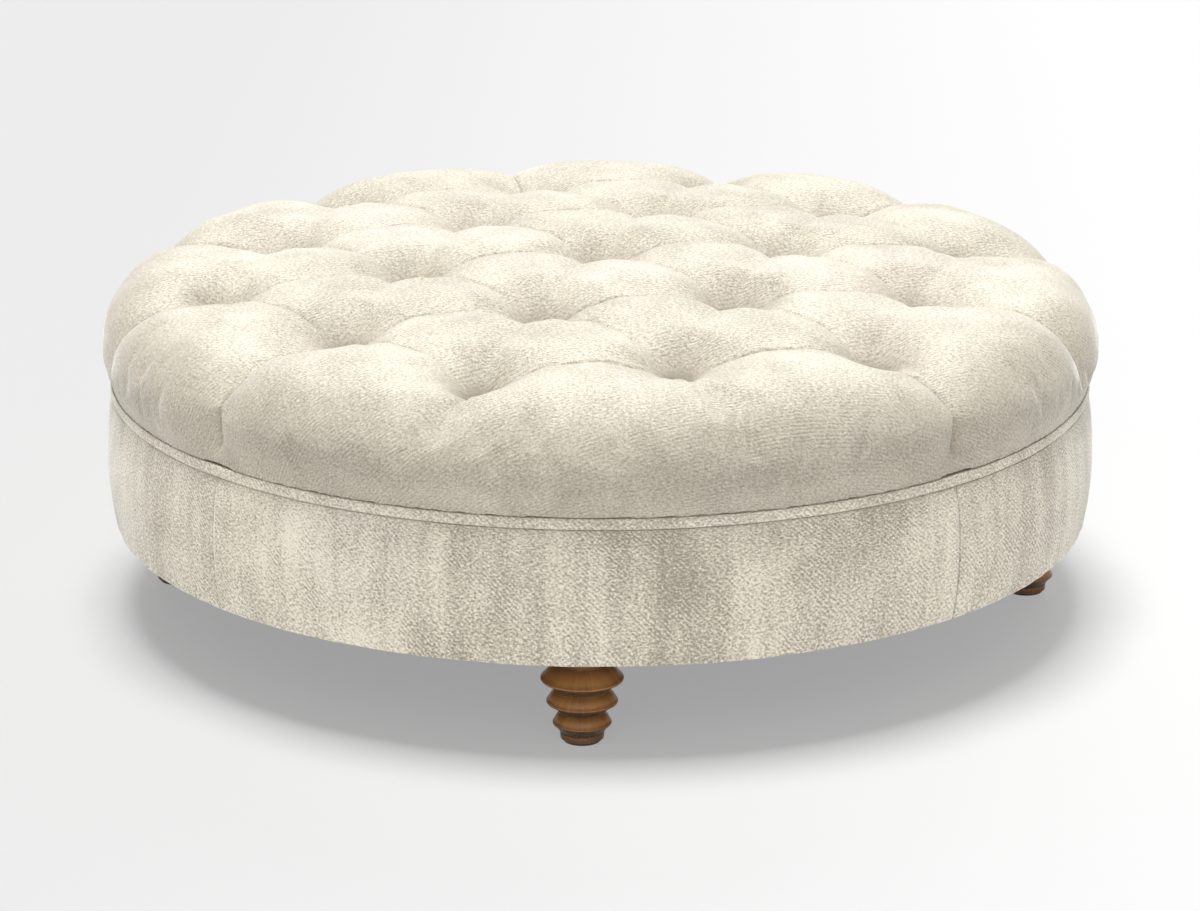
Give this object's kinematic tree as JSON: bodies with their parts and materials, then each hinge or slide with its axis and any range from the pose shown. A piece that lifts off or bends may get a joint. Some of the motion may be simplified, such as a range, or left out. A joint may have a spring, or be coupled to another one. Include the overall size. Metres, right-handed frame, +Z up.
{
  "type": "ottoman coffee table",
  "caption": "Low round ottoman coffee table: button-tufted padded top on an upholstered drum, with turned wooden feet.",
  "frame": {"origin": "on the floor under the middle of the drum", "axes": "+Z up; the four feet stand on the X and Y axes; the border seams lie halfway between them"},
  "size_m": [1.1, 1.1, 0.398],
  "materials": {
    "border_velvet": "cream chenille velvet, diagonal weave",
    "button_velvet": "cream chenille velvet over a button shell",
    "cambric": "black non-woven cambric",
    "card": "pressed card",
    "felt": "pressed felt",
    "foam": "upholstery foam, open cell",
    "frame_timber": "sawn pine, unfinished",
    "glide_plastic": "moulded nylon, matt",
    "hardboard": "bent hardboard",
    "plywood": "birch plywood, unfinished",
    "seat_velvet": "cream chenille velvet, diagonal weave, sheen at grazing angles",
    "tape": "woven flat tape",
    "turned_wood": "turned hardwood, mid-brown stain, satin",
    "twine": "waxed nylon tufting twine",
    "wadding": "polyester wadding, fluffy",
    "welt_velvet": "cream chenille velvet, diagonal weave",
    "zinc_steel": "zinc plated"
  },
  "bodies": {
    "root": {"base_board": "plywood", "base_screws": "zinc_steel", "block_screws": "zinc_steel", "border_panel_1": "border_velvet", "border_panel_2": "border_velvet", "border_panel_3": "border_velvet", "border_panel_4": "border_velvet", "deck_board": "plywood", "deck_screws": "zinc_steel", "dust_cover": "cambric", "dust_cover_staples": "zinc_steel", "foot_back": "turned_wood", "foot_block_back": "frame_timber", "foot_block_front": "frame_timber", "foot_block_left": "frame_timber", "foot_block_right": "frame_timber", "foot_front": "turned_wood", "foot_left": "turned_wood", "foot_right": "turned_wood", "glide_back": "glide_plastic", "glide_front": "glide_plastic", "glide_left": "glide_plastic", "glide_right": "glide_plastic", "hanger_bolts": "zinc_steel", "ring_screws": "zinc_steel", "seat_cover": "seat_velvet", "seat_foam": "foam", "seat_wadding": "wadding", "side_padding": "foam", "side_skin_back": "hardboard", "side_skin_front": "hardboard", "tack_strip": "card", "tee_nuts": "zinc_steel", "top_ring": "plywood", "tuft_buttons": "button_velvet", "tuft_twines": "twine", "twine_washers": "felt", "upright_1": "frame_timber", "upright_2": "frame_timber", "upright_3": "frame_timber", "upright_4": "frame_timber", "upright_5": "frame_timber", "upright_6": "frame_timber", "upright_7": "frame_timber", "upright_8": "frame_timber", "welt_cover": "welt_velvet", "welt_tape": "tape"}
  },
  "joints": []
}
